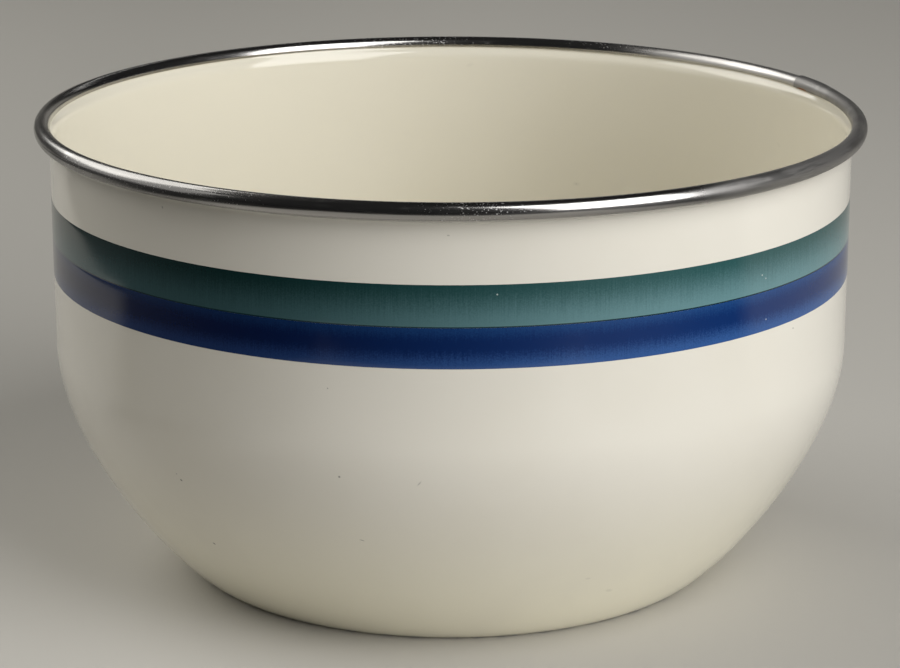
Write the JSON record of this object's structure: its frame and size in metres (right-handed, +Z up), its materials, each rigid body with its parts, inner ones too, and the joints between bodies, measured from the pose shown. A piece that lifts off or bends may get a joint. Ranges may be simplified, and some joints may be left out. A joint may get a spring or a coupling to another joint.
{
  "type": "mixing bowl",
  "caption": "Round-bottomed enamelled steel mixing bowl with an upright wall, flat base, green and blue fired stripes and a rolled stainless rim band.",
  "frame": {"origin": "centre of the flat base, on the table", "axes": "+Z up along the bowl's axis; the lapped seam of the rim band lies towards +X and +Y"},
  "size_m": [0.2406, 0.2406, 0.1346],
  "materials": {
    "sheet_steel": "pressed low-carbon sheet, hidden under the fired glass",
    "cream_lining": "glossy cream vitreous enamel with faint use marks",
    "cream_outside": "glossy cream vitreous enamel with a few specks and scratches",
    "green_print": "fired green colour, dark at its top edge and paler below, with fine print grain",
    "blue_print": "fired dark blue colour with fine print grain",
    "stainless": "polished stainless strip with scuffs along its length"
  },
  "bodies": {
    "root": {"steel_bowl": "sheet_steel", "enamel_lining": "cream_lining", "enamel_outer_coat": "cream_outside", "green_stripe": "green_print", "blue_stripe": "blue_print", "rim_band": "stainless"}
  },
  "joints": []
}
